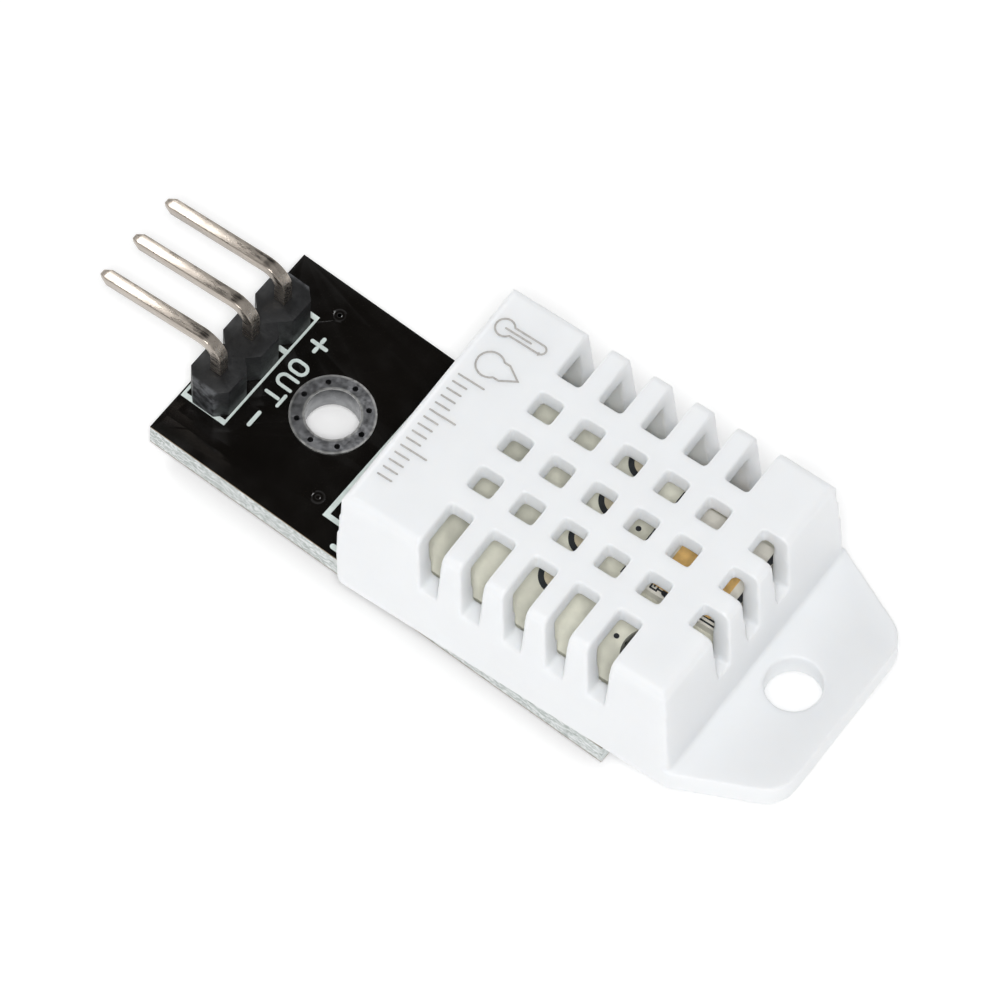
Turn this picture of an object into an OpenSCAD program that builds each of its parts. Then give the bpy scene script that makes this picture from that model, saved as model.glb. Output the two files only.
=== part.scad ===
// Temperature and humidity sensor module: a grilled sensor case soldered
// slightly askew onto a narrow carrier board with a bent three pin header.
// Origin: mounting hole axis at the carrier board's underside. +X runs towards
// the case's ear, +Z is up. Millimetres.

/* [Carrier board] */
// Length of the carrier board
board_len = 28.2; // [27:0.1:31]
// Width of the carrier board
board_w = 12.3; // [12:0.1:15]
// Thickness of the carrier board
board_t = 1.6; // [1.2:0.1:2]
// Distance from the header end of the board to the mounting hole's axis
hole_from_end = 6.65; // [6.2:0.05:7]
// Diameter of the mounting hole inside its plating
hole_d = 2.8; // [2.5:0.1:3.2]
// Outer diameter of the tinned ring round the mounting hole
ring_d = 4.4; // [4.2:0.1:4.8]
// Thickness of the tinned copper on both faces
pad_t = 0.05; // [0.03:0.01:0.1]
// Number of small vias in the tinned ring
ring_via_count = 8; // [4:1:10]
// Diameter of each small via
ring_via_d = 0.3; // [0.2:0.01:0.34]
// Width of the printed lines
print_line = 0.28; // [0.2:0.02:0.35]
// Thickness of the print
print_t = 0.03; // [0.02:0.01:0.05]

/* [Pin header] */
// Spacing of the header pins and of the sensor leads
pitch = 2.54; // [2.5:0.01:2.6]
// Number of header pins
header_count = 3; // [3:1:3]
// Distance from the board's end to the row of pins
header_from_end = 1.47; // [1.4:0.01:1.7]
// Height of the header's insulator
insulator_h = 2.5; // [2:0.1:3]
// Width of the header's insulator
insulator_w = 2.4; // [2:0.05:2.54]
// Depth of the snap notches between the insulator's segments
notch_depth = 0.56; // [0.2:0.02:0.6]
// Side of the square pins
pin_side = 0.64; // [0.5:0.01:0.7]
// Height of the bent pins' highest axis point above the board
pin_rise = 4.8; // [4.6:0.1:6]
// Bend radius at the pins' axis
pin_bend_r = 1; // [0.6:0.1:1.2]
// Angle that the free ends droop below level
pin_droop = 8; // [0:1:12]
// Reach of the free ends beyond the row of pins
pin_reach = 7.35; // [6:0.05:9]
// Length of the chamfer at a pin's tip
tip_chamfer = 0.45; // [0.2:0.05:0.8]
// Projection of the tails below the board
tail_len = 0.9; // [0.8:0.05:1.2]

/* [Sensor case] */
// Length of the case without its ear
case_len = 20; // [20:0.1:21]
// Width of the case
case_w = 15.2; // [15.1:0.1:16]
// Height of the case
case_h = 8.4; // [7.8:0.1:8.8]
// Side wall of the case
wall = 1.3; // [1:0.05:1.4]
// Thickness of the grille plate at the top of the case
top_t = 1.1; // [0.9:0.05:1.3]
// Radius of the case's outer edges
edge_r = 0.5; // [0.3:0.05:0.8]
// Skew of the case on the board in plan, in degrees
sensor_yaw = 2.25; // [2:0.05:3.3]
// Lift of the case's ear end off the board, in degrees
sensor_lift = 2.6; // [2:0.1:3]
// Draft of the case's walls above the ear, in degrees
case_draft = 3.5; // [0.5:0.1:4]
// Gap between the case's underside at its lead end and the board
seat_gap = 0.1; // [0.06:0.01:0.2]
// Sideways offset of the case from the board's centre line
case_offset = 0.35; // [0.1:0.05:0.35]

/* [Grille] */
// Spacing of the grille's openings
grille_pitch = 2.5; // [2.4:0.02:2.6]
// Side of each square opening and width of each slot, at the top
grille_hole = 1.4; // [1.2:0.05:1.5]
// Draft of the square openings, in degrees
hole_draft = 6.5; // [2:0.5:8]
// Draft of the slots, in degrees
slot_draft = 3; // [1:0.5:4]
// Rows of openings along the case
grille_rows = 5; // [3:1:5]
// Openings in each row
grille_cols = 3; // [1:2:3]
// Distance from the case's lead end to the first row
grille_start = 4.95; // [4.2:0.05:5.1]
// Web between an outer opening and the inner end of its side slot
slot_web = 1.15; // [1:0.05:1.3]
// Distance from the case's lead end to the end slots
end_slot_start = 18.1; // [17.7:0.1:18.3]
// Height of the slots' sills above the case's underside
sill_z = 4.2; // [4.1:0.1:4.8]

/* [Ear] */
// Reach of the ear beyond the case
ear_len = 5.2; // [4.8:0.1:6]
// Thickness of the ear
ear_t = 1.6; // [1.2:0.1:2.2]
// Taper of the ear's sides, in degrees
ear_taper = 24.5; // [15:0.5:26]
// Radius of the ear's corners
ear_corner_r = 1.8; // [0.5:0.1:2]
// Diameter of the ear's hole
ear_hole_d = 2.9; // [2.6:0.1:3.2]
// Distance from the case's end wall to the ear's hole
ear_hole_x = 2.2; // [2.2:0.05:3]

/* [Inside the case] */
// Thickness of the case's back plate
plate_t = 1; // [0.8:0.05:1]
// Fit between the back plate and the case
plate_fit = 0.05; // [0.02:0.01:0.1]
// Height of the inner board's underside above the case's underside
inner_z = 3.1; // [2.8:0.05:3.1]
// Thickness of the inner board
inner_t = 1; // [0.8:0.05:1.2]
// Clearance between the inner board and the side walls and lead end
inner_fit = 0.15; // [0.1:0.05:0.3]
// Gap between the inner board and the ear end's wall
inner_end_gap = 0.15; // [0.1:0.05:0.3]
// Diameter of the posts under the inner board
post_d = 1.6; // [1.2:0.1:2]
// Diameter of the round pads on the inner board
dot_d = 2.2; // [1.8:0.1:2.2]
// Width of the black rings round those pads
dot_ring = 0.3; // [0.2:0.02:0.34]
// Diameter of the thermistor's sealing drop
drop_d = 3; // [2.4:0.1:3.2]
// Height of the thermistor's sealing drop
drop_h = 0.9; // [0.6:0.05:1.1]
// Length of the humidity element
element_len = 5.8; // [5:0.1:5.9]
// Width of the humidity element
element_w = 5.4; // [5:0.1:5.5]
// Thickness of the humidity element
element_t = 0.6; // [0.4:0.05:0.8]
// Length of the controller's body
controller_len = 5.2; // [5:0.1:5.6]
// Width of the controller's body
controller_w = 4.4; // [4:0.1:4.8]
// Height of the controller below the inner board
controller_h = 1.1; // [0.9:0.05:1.2]

/* [Sensor leads] */
// Number of sensor leads
lead_count = 4; // [4:1:4]
// Width of a sensor lead
lead_w = 0.45; // [0.4:0.01:0.5]
// Thickness of a sensor lead
lead_t = 0.25; // [0.2:0.01:0.3]
// Distance from the leads' axes to the case
lead_reach = 1.1; // [0.8:0.05:1.2]
// Bend radius at the leads' axis
lead_bend_r = 0.4; // [0.3:0.05:0.5]
// Diameter of the holes that take pins and leads
pin_hole_d = 1.1; // [1:0.05:1.2]
// Diameter of the solder pads
pad_d = 1.8; // [1.6:0.05:1.95]
// Height of the solder fillets below the board
solder_h = 0.7; // [0.5:0.05:0.75]
// Diameter of the solder fillets at their lower end
solder_neck = 1.04; // [0.98:0.02:1.1]

/* [Small parts] */
// Length of the surface mounted chips on the underside
chip_len = 2; // [1.6:0.1:2]
// Width of those chips
chip_w = 1.25; // [0.8:0.05:1.4]
// Height of those chips
chip_h = 0.5; // [0.35:0.05:0.6]
// Length of each chip's end cap
cap_len = 0.4; // [0.25:0.05:0.5]

/* [Hidden] */
$fn = 40;

// Board frame: everything is measured from the mounting hole's axis
board_x0 = -hole_from_end;
board_x1 = board_len - hole_from_end;
header_x = header_from_end - hole_from_end;
header_half = header_count * pitch / 2;
via_ring_d = (hole_d + ring_d) / 2;
// Case frame: its origin is the middle of the lead end at the underside
case_x = 5.35;
case_y = case_offset + 0.1;
lead_row_x = case_x - lead_reach * cos(sensor_lift) + board_t * sin(sensor_lift);
lead_row_y = case_y - lead_reach * sin(sensor_yaw);
under_case = board_t + seat_gap;
lead_z = inner_z - lead_t / 2;
cavity_w = case_w - 2 * wall;
inner_x = wall + inner_fit;
inner_w = cavity_w - 2 * inner_fit;
inner_x1 = case_len - wall - inner_end_gap;
inner_len = inner_x1 - inner_x;
inner_top = inner_z + inner_t;
row_offset = (grille_cols - 1) / 2;
ear_end_half = case_w / 2 - ear_len * tan(ear_taper);
// Chips lie on the underside, beyond the leads' solder row
chip_x = lead_row_x + 5.1;
resistor_y = -2.6;
capacitor_y = 2.4;
capacitor_h = chip_h + 0.2;

function lead_y(k) = (k - (lead_count - 1) / 2) * pitch;
function pin_y(k) = (k - (header_count - 1) / 2) * pitch;
function unit(v) = v / norm(v);
// Points of the arc that rounds corner b between a and c
function rounded_corner(a, b, c, r, steps = 6) =
    let (u = unit(a - b), v = unit(c - b), half = acos(u * v) / 2,
         centre = b + unit(u + v) * r / sin(half),
         from = b + u * r / tan(half) - centre, to = b + v * r / tan(half) - centre,
         a0 = atan2(from[1], from[0]), turn = atan2(from[0] * to[1] - from[1] * to[0], from * to))
    [for (i = [0:steps]) centre + r * [cos(a0 + turn * i / steps), sin(a0 + turn * i / steps)]];

// Rectangle from the origin with true round corners
module rounded_rect(x, y, r) {
    translate([r, 0]) square([x - 2 * r, y]);
    translate([0, r]) square([x, y - 2 * r]);
    for (px = [r, x - r], py = [r, y - r]) translate([px, py]) circle(r);
}

// Places its children in the frame of the skewed and lifted sensor case
module in_case() translate([case_x, case_y, under_case]) rotate([0, -sensor_lift, sensor_yaw]) children();

module header_axes() for (k = [0:header_count - 1]) translate([header_x, pin_y(k), 0]) children();

module lead_axes() for (k = [0:lead_count - 1]) translate([lead_row_x, lead_row_y + lead_y(k), 0]) children();

module ring_vias() for (k = [0:ring_via_count - 1])
    rotate([0, 0, k * 360 / ring_via_count]) translate([via_ring_d / 2, 0, -board_t])
        cylinder(d = ring_via_d, h = 3 * board_t, $fn = 16);

module carrier_board() {
    color("#161512") difference() {
        translate([board_x0, -board_w / 2, 0]) cube([board_len, board_w, board_t]);
        translate([0, 0, -1]) cylinder(d = hole_d, h = board_t + 2);
        ring_vias();
        header_axes() translate([0, 0, -1]) cylinder(d = pin_hole_d, h = board_t + 2, $fn = 24);
        lead_axes() translate([0, 0, -1]) cylinder(d = pin_hole_d, h = board_t + 2, $fn = 24);
    }
}

module mounting_hole_plating() {
    color("#55565a") difference() {
        for (z = [-pad_t, board_t]) translate([0, 0, z]) cylinder(d = ring_d, h = pad_t);
        translate([0, 0, -1]) cylinder(d = hole_d, h = board_t + 2);
        ring_vias();
    }
}

// Solder pad on one face, with the hole left open
module pad_ring() difference() {
    cylinder(d = pad_d, h = pad_t, $fn = 24);
    translate([0, 0, -1]) cylinder(d = pin_hole_d, h = pad_t + 2, $fn = 24);
}

module header_pads() color("#b9b4a6") header_axes() translate([0, 0, -pad_t]) pad_ring();

module sensor_pads() color("#b9b4a6") lead_axes() {
    translate([0, 0, -pad_t]) pad_ring();
    translate([0, 0, board_t]) pad_ring();
}

// Printed frame, drawn as a closed line
module print_frame(x, y) difference() {
    square([x, y]);
    translate([print_line, print_line]) square([x - 2 * print_line, y - 2 * print_line]);
}

header_frame_w = header_count * pitch + 0.05;
header_frame_x = header_x + insulator_w / 2 + 0.15;
sensor_frame_l = pitch + 0.06;
sensor_frame_w = lead_count * pitch;

module board_print() {
    color("#d3dedc") translate([0, 0, board_t]) linear_extrude(print_t) {
        difference() {
            translate([board_x0 + 0.1, -header_frame_w / 2])
                print_frame(header_frame_x - board_x0 - 0.1, header_frame_w);
            translate([header_x - insulator_w / 2 - 0.02, -header_frame_w / 2 + print_line])
                square([insulator_w + 0.04, header_frame_w - 2 * print_line]);
        }
        translate([header_x + insulator_w / 2 - notch_depth, pitch / 2 - print_line / 2])
            square([header_frame_x - header_x - insulator_w / 2 + notch_depth - print_line / 2, print_line]);
        translate([lead_row_x - sensor_frame_l / 2, lead_row_y - sensor_frame_w / 2])
            print_frame(sensor_frame_l, sensor_frame_w);
    }
}

// Outline of one header segment: an octagon that its neighbours meet face to face
module insulator_segment() polygon([
    [-insulator_w / 2 + notch_depth, -pitch / 2], [insulator_w / 2 - notch_depth, -pitch / 2],
    [insulator_w / 2, -pitch / 2 + notch_depth], [insulator_w / 2, pitch / 2 - notch_depth],
    [insulator_w / 2 - notch_depth, pitch / 2], [-insulator_w / 2 + notch_depth, pitch / 2],
    [-insulator_w / 2, pitch / 2 - notch_depth], [-insulator_w / 2, -pitch / 2 + notch_depth]]);

module header_insulator() {
    color("#1c1d1f") translate([0, 0, board_t + print_t]) linear_extrude(insulator_h) difference() {
        for (k = [0:header_count - 1]) translate([header_x, pin_y(k)]) insulator_segment();
        for (k = [0:header_count - 1]) translate([header_x, pin_y(k)]) square(pin_side, center = true);
    }
}

// One pin: tail and riser, bend, drooping free end with a chamfered tip
module header_pin(k) {
    turn = 90 + pin_droop;
    bend_z = board_t + pin_rise - pin_bend_r;
    run = (pin_reach - pin_bend_r + pin_bend_r * cos(turn)) / cos(pin_droop);
    color("#a79f98") translate([header_x, pin_y(k), 0]) {
        translate([-pin_side / 2, -pin_side / 2, -tail_len]) cube([pin_side, pin_side, bend_z + tail_len]);
        translate([-pin_bend_r, 0, bend_z]) rotate([90, 0, 0]) rotate_extrude(angle = turn)
            translate([pin_bend_r - pin_side / 2, -pin_side / 2]) square(pin_side);
        translate([-pin_bend_r, 0, bend_z]) rotate([0, -turn, 0]) translate([pin_bend_r, 0, 0]) free_end(run);
    }
}

// Straight free end along +Z, its four sides chamfered towards the tip
module free_end(run) {
    half = pin_side / 2;
    tip = half / 2;
    side = [[-half, 0], [half, 0], [half, run - tip_chamfer], [tip, run], [-tip, run], [-half, run - tip_chamfer]];
    intersection() {
        rotate([90, 0, 0]) linear_extrude(pin_side, center = true) polygon(side);
        rotate([90, 0, 90]) linear_extrude(pin_side, center = true) polygon(side);
    }
}

// Solder fillet below the board, open where its pin or lead passes
module solder_cone() {
    difference() {
        union() {
            translate([0, 0, -pad_t]) cylinder(d = pin_hole_d, h = board_t / 2 + pad_t, $fn = 24);
            rotate_extrude($fn = 24) polygon(concat([[0, -pad_t]],
                [for (a = [0:15:90]) [pad_d / 2 - (pad_d - solder_neck) / 2 * sin(a),
                    -pad_t - (solder_h - pad_t) * (1 - cos(a))]],
                [[0, -solder_h]]));
        }
        children();
    }
}

module header_solder(k) color("#c4c5c4") translate([header_x, pin_y(k), 0])
    solder_cone() cube([pin_side, pin_side, 4 * board_t], center = true);

// One sensor lead in the case's frame: flat under the inner board, bent down
module lead_shape(k) {
    inner_end = inner_x + 1.6;
    bend_x = -lead_reach + lead_bend_r;
    bottom = -under_case - tail_len;
    translate([0, lead_y(k), 0]) {
        translate([bend_x, -lead_w / 2, lead_z - lead_t / 2]) cube([inner_end - bend_x, lead_w, lead_t]);
        translate([bend_x, 0, lead_z - lead_bend_r]) rotate([90, 0, 0]) rotate([0, 0, 90])
            rotate_extrude(angle = 90) translate([lead_bend_r - lead_t / 2, -lead_w / 2]) square([lead_t, lead_w]);
        translate([-lead_reach - lead_t / 2, -lead_w / 2, bottom])
            cube([lead_t, lead_w, lead_z - lead_bend_r - bottom]);
    }
}

module sensor_lead(k) color("#b5b0aa") in_case() lead_shape(k);

module lead_solder(k) color("#c4c5c4") difference() {
    translate([lead_row_x, lead_row_y + lead_y(k), 0]) solder_cone() cube(0.001, center = true);
    in_case() lead_shape(k);
}

// Chip lying under the board, centred on its place
module chip_body(len, w, h, cap) translate([-len / 2 + cap, -w / 2, -h]) cube([len - 2 * cap, w, h]);

module chip_caps(len, w, h, cap) for (s = [-1, 1])
    translate([s * (len - cap) / 2, 0, -h / 2]) cube([cap, w, h], center = true);

module pullup_resistor() color("#1d1d1f") translate([chip_x, resistor_y, 0])
    chip_body(chip_len, chip_w, chip_h, cap_len);
module pullup_resistor_caps() color("#c9c9c6") translate([chip_x, resistor_y, 0])
    chip_caps(chip_len, chip_w, chip_h, cap_len);
module bypass_capacitor() color("#b59a74") translate([chip_x, capacitor_y, 0])
    chip_body(chip_len, chip_w, capacitor_h, cap_len);
module bypass_capacitor_caps() color("#c9c9c6") translate([chip_x, capacitor_y, 0])
    chip_caps(chip_len, chip_w, capacitor_h, cap_len);

// Upright outline of the case, w wide: straight up to the ear's top, then drafted
// to a flat top with true round corners
module case_outline(w) {
    inset = (case_h - ear_t) * tan(case_draft);
    centre_x = w / 2 - inset - edge_r * tan(45 - case_draft / 2);
    foot_x = centre_x + edge_r * cos(case_draft);
    foot_y = case_h - edge_r + edge_r * sin(case_draft);
    polygon([[-w / 2, 0], [w / 2, 0], [w / 2, ear_t], [foot_x, foot_y], [centre_x, case_h],
        [-centre_x, case_h], [-foot_x, foot_y], [-w / 2, ear_t]]);
    for (s = [-1, 1]) translate([s * centre_x, case_h - edge_r]) circle(edge_r);
}

// Case block with every outer edge rounded except those of its flat underside
module case_block() intersection() {
    translate([0, -case_w / 2, 0]) linear_extrude(case_h) rounded_rect(case_len, case_w, edge_r);
    translate([case_len / 2, 0, 0]) rotate([90, 0, 0]) linear_extrude(case_w, center = true) case_outline(case_len);
    rotate([90, 0, 90]) linear_extrude(case_len) case_outline(case_w);
}

module ear_plate() {
    root = case_len - wall;
    a = [case_len, -case_w / 2];
    b = [case_len + ear_len, -ear_end_half];
    c = [case_len + ear_len, ear_end_half];
    d = [case_len, case_w / 2];
    linear_extrude(ear_t) polygon(concat([[root, -case_w / 2 + edge_r], [root + edge_r, -case_w / 2], a],
        rounded_corner(a, b, c, ear_corner_r), rounded_corner(b, c, d, ear_corner_r),
        [d, [root + edge_r, case_w / 2], [root, case_w / 2 - edge_r]]));
}

// Cut with drafted walls: wx by wy at the case's top, narrower down at z0
module drafted_cut(wx, wy, z0, draft) {
    above = case_h + top_t;
    grow = top_t * tan(draft);
    shrink = (case_h - z0) * tan(draft);
    intersection() {
        rotate([90, 0, 0]) linear_extrude(2 * wy, center = true) polygon([[-wx / 2 - grow, above],
            [wx / 2 + grow, above], [wx / 2 - shrink, z0], [shrink - wx / 2, z0]]);
        rotate([90, 0, 90]) linear_extrude(2 * wx, center = true) polygon([[-wy / 2 - grow, above],
            [wy / 2 + grow, above], [wy / 2 - shrink, z0], [shrink - wy / 2, z0]]);
    }
}

// Cuts of the grille: square openings, side slots and end slots
module grille_cuts() {
    slot_len = case_w / 2 - (row_offset * grille_pitch + grille_hole / 2 + slot_web);
    end_slot_len = case_len - end_slot_start;
    beyond = 2 * wall;
    for (i = [0:grille_rows - 1]) translate([grille_start + grille_hole / 2 + i * grille_pitch, 0, 0]) {
        for (j = [-row_offset:row_offset]) translate([0, j * grille_pitch, 0])
            drafted_cut(grille_hole, grille_hole, case_h - 1.5 * top_t, hole_draft);
        for (s = [-1, 1]) translate([0, s * (case_w - slot_len + beyond) / 2, 0])
            drafted_cut(grille_hole, slot_len + beyond, sill_z, slot_draft);
    }
    for (j = [-row_offset:row_offset]) translate([end_slot_start + (end_slot_len + beyond) / 2, j * grille_pitch, 0])
        drafted_cut(end_slot_len + beyond, grille_hole, sill_z, slot_draft);
}

// Notches in the lead end through which the leads leave
module lead_notches(fit) for (k = [0:lead_count - 1])
    translate([-wall, lead_y(k) - lead_w / 2 - fit, -wall])
        cube([3 * wall, lead_w + 2 * fit, inner_z + wall + fit / 2]);

lead_slot_fit = 0.15;

module grille_cover() {
    color("#eef1f4") in_case() difference() {
        union() {
            case_block();
            ear_plate();
        }
        translate([wall, -cavity_w / 2, -1]) cube([case_len - 2 * wall, cavity_w, case_h - top_t + 1]);
        translate([case_len + ear_hole_x, 0, -1]) cylinder(d = ear_hole_d, h = ear_t + 2);
        lead_notches(lead_slot_fit);
        grille_cuts();
    }
}

module back_plate() {
    post_inset = post_d / 2 + 0.2;
    color("#e3e7ea") in_case() {
        translate([wall + plate_fit, -cavity_w / 2 + plate_fit, 0])
            cube([case_len - 2 * wall - 2 * plate_fit, cavity_w - 2 * plate_fit, plate_t]);
        for (px = [inner_x + post_inset, inner_x + inner_len - post_inset], s = [-1, 1])
            translate([px, s * (inner_w / 2 - post_inset), plate_t]) cylinder(d = post_d, h = inner_z - plate_t);
        for (k = [0:lead_count - 1]) translate([plate_fit, lead_y(k) - lead_w / 2 - lead_slot_fit + plate_fit, 0])
            cube([wall + plate_fit, lead_w + 2 * (lead_slot_fit - plate_fit), inner_z - lead_t - plate_fit]);
    }
}

module inner_board() color("#bfc0ac") in_case()
    translate([inner_x, -inner_w / 2, inner_z]) cube([inner_len, inner_w, inner_t]);

// Places of the round pads along the inner board
dot_x = inner_x + 8.82;
dot_shift = 1.03;
module dot_places() for (k = [0:lead_count - 1])
    in_case() translate([dot_x, lead_y(k) + dot_shift, inner_top]) children();

module inner_board_pads() color("#cfc6b0") dot_places() cylinder(d = dot_d - 2 * dot_ring, h = pad_t, $fn = 28);

module inner_board_rings() color("#2a2d33") dot_places() difference() {
    cylinder(d = dot_d, h = pad_t, $fn = 28);
    translate([0, 0, -1]) cylinder(d = dot_d - 2 * dot_ring, h = pad_t + 2, $fn = 28);
}

// Humidity element: substrate, black surround on three sides and gilt electrode
element_x = inner_x1 - 0.05 - element_len;
element_y = -1.2;
element_line = 0.3;
electrode_near = 1.65;
electrode_far = 0.77;
electrode_side = 0.4;
electrode_open = 1.8;

module humidity_substrate() color("#e4e2d8") in_case()
    translate([element_x, element_y, inner_top]) cube([element_len, element_w, element_t]);

module humidity_frame() color("#24262a") in_case() translate([element_x, element_y, inner_top + element_t])
    linear_extrude(pad_t) difference() {
        square([element_len, element_w]);
        translate([element_line, element_line])
            square([element_len - 2 * element_line, element_w]);
    }

module humidity_electrode() color("#cda55a") in_case()
    translate([element_x + electrode_near, element_y + electrode_side, inner_top + element_t])
        cube([element_len - electrode_near - electrode_far, element_w - electrode_side - electrode_open, pad_t]);

// Cap of a sphere with the drop's own diameter and height
drop_r = (drop_d * drop_d / 4 + drop_h * drop_h) / (2 * drop_h);
drop_x = inner_x1 - drop_d / 2 - 0.7;
drop_y = element_y - drop_d / 2 - 1.1;

module thermistor_drop() color("#17181a") in_case() translate([drop_x, drop_y, inner_top]) difference() {
    translate([0, 0, drop_h - drop_r]) sphere(drop_r, $fn = 40);
    translate([-2 * drop_r, -2 * drop_r, -4 * drop_r]) cube(4 * drop_r);
}

// Controller on the underside of the inner board, with gull wing legs
leg_pitch = 1.27;
leg_w = 0.4;
leg_t = 0.15;
leg_reach = 0.9;
leg_foot = 0.5;
standoff = 0.1;
controller_x = inner_x + 4.6;
leg_rise = controller_h / 2;

module controller_chip() color("#202124") in_case()
    translate([controller_x, -controller_w / 2, inner_z - controller_h])
        cube([controller_len, controller_w, controller_h - standoff]);

module controller_leg() {
    translate([0, 0, -leg_rise]) cube([leg_w, leg_reach - leg_foot, leg_t]);
    translate([0, leg_reach - leg_foot - leg_t, -leg_rise]) cube([leg_w, leg_t, leg_rise]);
    translate([0, leg_reach - leg_foot - leg_t, -leg_t]) cube([leg_w, leg_foot + leg_t, leg_t]);
}

module controller_legs() color("#b8b9bb") in_case() for (i = [0:3], s = [0, 1]) mirror([0, s, 0])
    translate([controller_x + (controller_len - 3 * leg_pitch - leg_w) / 2 + i * leg_pitch, controller_w / 2, inner_z])
        controller_leg();

// Small ceramic chip beside the humidity element
ceramic_h = 0.8;
ceramic_x = element_x + chip_len / 2 + 1.2;
ceramic_y = element_y + element_w + chip_w / 2 + 0.4;

module ceramic_capacitor() color("#d6ccc0") in_case() translate([ceramic_x, ceramic_y, inner_top + ceramic_h])
    chip_body(chip_len, chip_w, ceramic_h, cap_len);
module ceramic_capacitor_caps() color("#c9c9c6") in_case() translate([ceramic_x, ceramic_y, inner_top + ceramic_h])
    chip_caps(chip_len, chip_w, ceramic_h, cap_len);

carrier_board();
mounting_hole_plating();
board_print();
header_pads();
sensor_pads();
header_insulator();
header_pin(0);  // header_pin_minus
header_pin(1);  // header_pin_out
header_pin(2);  // header_pin_plus
header_solder(0);  // header_solder_minus
header_solder(1);  // header_solder_out
header_solder(2);  // header_solder_plus
sensor_lead(0);  // sensor_lead_1
sensor_lead(1);  // sensor_lead_2
sensor_lead(2);  // sensor_lead_3
sensor_lead(3);  // sensor_lead_4
lead_solder(0);  // lead_solder_1
lead_solder(1);  // lead_solder_2
lead_solder(2);  // lead_solder_3
lead_solder(3);  // lead_solder_4
pullup_resistor();
pullup_resistor_caps();
bypass_capacitor();
bypass_capacitor_caps();
grille_cover();
back_plate();
inner_board();
inner_board_pads();
inner_board_rings();
humidity_substrate();
humidity_frame();
humidity_electrode();
thermistor_drop();
controller_chip();
controller_legs();
ceramic_capacitor();
ceramic_capacitor_caps();
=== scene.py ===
"""Looks of a temperature and humidity sensor module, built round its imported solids.

Lengths are given in millimetres and turned to metres where a mesh is made. The frame's
origin is the mounting hole's axis at the carrier board's underside, +X runs towards the
case's ear and +Z is up.
"""

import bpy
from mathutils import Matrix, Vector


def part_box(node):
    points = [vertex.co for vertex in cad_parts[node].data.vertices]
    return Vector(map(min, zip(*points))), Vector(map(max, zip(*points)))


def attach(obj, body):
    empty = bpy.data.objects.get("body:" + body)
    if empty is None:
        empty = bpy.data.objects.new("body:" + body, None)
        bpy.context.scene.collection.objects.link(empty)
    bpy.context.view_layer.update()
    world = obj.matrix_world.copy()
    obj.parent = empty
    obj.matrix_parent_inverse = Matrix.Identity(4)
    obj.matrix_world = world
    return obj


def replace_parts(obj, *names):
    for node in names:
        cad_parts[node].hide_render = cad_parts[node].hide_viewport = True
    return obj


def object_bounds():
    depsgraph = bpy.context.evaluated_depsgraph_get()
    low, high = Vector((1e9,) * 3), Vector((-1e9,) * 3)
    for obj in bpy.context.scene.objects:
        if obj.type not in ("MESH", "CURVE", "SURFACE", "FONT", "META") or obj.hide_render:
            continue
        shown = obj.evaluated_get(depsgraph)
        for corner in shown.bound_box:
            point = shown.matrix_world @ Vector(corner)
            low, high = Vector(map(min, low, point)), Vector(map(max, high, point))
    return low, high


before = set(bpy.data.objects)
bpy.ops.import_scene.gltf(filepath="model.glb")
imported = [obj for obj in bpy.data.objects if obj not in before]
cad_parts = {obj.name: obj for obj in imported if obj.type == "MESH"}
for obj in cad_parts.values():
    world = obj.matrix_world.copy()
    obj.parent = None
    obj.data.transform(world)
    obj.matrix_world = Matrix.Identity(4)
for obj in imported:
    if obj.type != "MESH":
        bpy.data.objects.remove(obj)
CAD_BOX = [[float(v) for v in corner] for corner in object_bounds()]

import logging
import math
import random
from dataclasses import dataclass, field
from enum import Enum
from typing import Callable, Iterable, Optional, Sequence

import bmesh
import bpy
from mathutils import Matrix, Vector

LOG = logging.getLogger("sensor_module")
MM = 0.001
BODY = "root"
Point = tuple[float, float]


# Colour and node helpers

def linear(hex_colour: str, alpha: float = 1.0) -> tuple[float, float, float, float]:
    """Turns an sRGB hex colour to linear values.

    Args:
        hex_colour: six hex digits after a hash sign.
        alpha: the fourth value of the result.

    Returns:
        Red, green, blue and alpha for a colour socket.
    """
    parts = [int(hex_colour[i:i + 2], 16) / 255 for i in (1, 3, 5)]
    line = [p / 12.92 if p <= 0.04045 else ((p + 0.055) / 1.055) ** 2.4 for p in parts]
    return (line[0], line[1], line[2], alpha)


def add_node(tree: bpy.types.NodeTree, kind: str, settings: Optional[dict] = None,
             links: Optional[dict] = None) -> bpy.types.Node:
    """Adds a node with its settings and links.

    Args:
        tree: the node tree that takes the node.
        kind: the node's type name.
        settings: attributes, or values of inputs by name or number.
        links: output sockets that feed inputs, by name or number.

    Returns:
        The new node.
    """
    node = tree.nodes.new(kind)
    plain = {k: v for k, v in (settings or {}).items() if isinstance(k, str) and hasattr(node, k)}
    for key, value in plain.items():
        setattr(node, key, value)
    for key, value in (settings or {}).items():
        if key not in plain:
            node.inputs[key].default_value = value
    for key, socket in (links or {}).items():
        tree.links.new(socket, node.inputs[key])
    return node


def ramp(tree: bpy.types.NodeTree, source: bpy.types.NodeSocket,
         stops: Sequence[tuple[float, tuple]]) -> bpy.types.NodeSocket:
    """Maps a value to colours.

    Args:
        tree: the node tree.
        source: the value from 0 to 1.
        stops: places and colours, in order.

    Returns:
        The colour output.
    """
    node = add_node(tree, "ShaderNodeValToRGB", links={"Fac": source})
    elements = node.color_ramp.elements
    while len(elements) < len(stops):
        elements.new(0.5)
    for element, (place, colour) in zip(elements, stops):
        element.position = place
        element.color = colour
    return node.outputs["Color"]


def per_mm(size_mm: float) -> float:
    """Returns a texture's scale for a grain of the given size."""
    return 1.0 / (size_mm * MM)


# Finishes

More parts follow.
